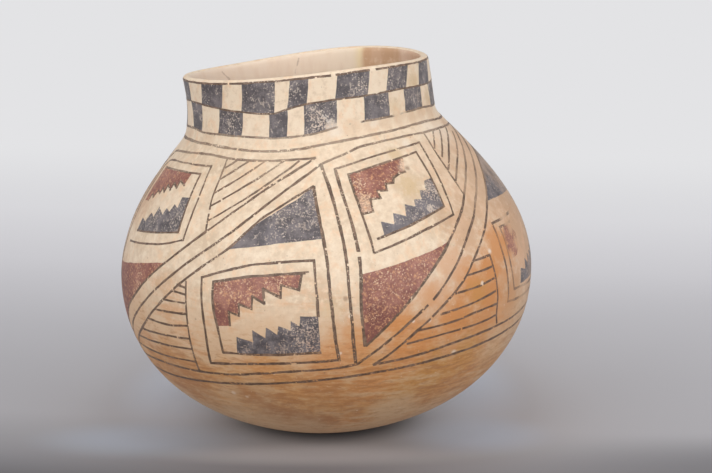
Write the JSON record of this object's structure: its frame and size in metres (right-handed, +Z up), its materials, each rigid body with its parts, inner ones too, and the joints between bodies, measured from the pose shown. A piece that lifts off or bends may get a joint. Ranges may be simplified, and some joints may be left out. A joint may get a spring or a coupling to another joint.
{
  "type": "painted pottery jar",
  "caption": "Round-bellied hand-built pottery jar with a short upright neck, coil by coil, painted with checks, stepped panels and slanting stripes.",
  "frame": {"origin": "centre of the worn flat face that the jar stands on", "axes": "+Z up, square to the resting face; -X is the side that the jar leans to; -Y is the side that the picture shows"},
  "size_m": [0.2093, 0.2094, 0.1891],
  "materials": {
    "cream_slip": "cream slip, burnished to a soft sheen, with rubbed and stained patches",
    "ochre_slip": "ochre to buff slip, burnished, clouded by firing",
    "bare_clay": "scraped brown-buff clay, dull, worn where the jar stands",
    "black_paint": "mineral black paint, thin, burnished and specked with wear",
    "red_paint": "dull brick red slip paint, specked with wear"
  },
  "bodies": {
    "root": {"base_bowl": "bare_clay", "wall_coil_01": "ochre_slip", "wall_coil_02": "ochre_slip", "wall_coil_03": "ochre_slip", "wall_coil_04": "ochre_slip", "wall_coil_05": "cream_slip", "wall_coil_06": "cream_slip", "wall_coil_07": "cream_slip", "wall_coil_08": "cream_slip", "wall_coil_09": "cream_slip", "wall_coil_10": "cream_slip", "wall_coil_11": "cream_slip", "neck_coil": "cream_slip", "rim_coil": "cream_slip"}
  },
  "joints": []
}
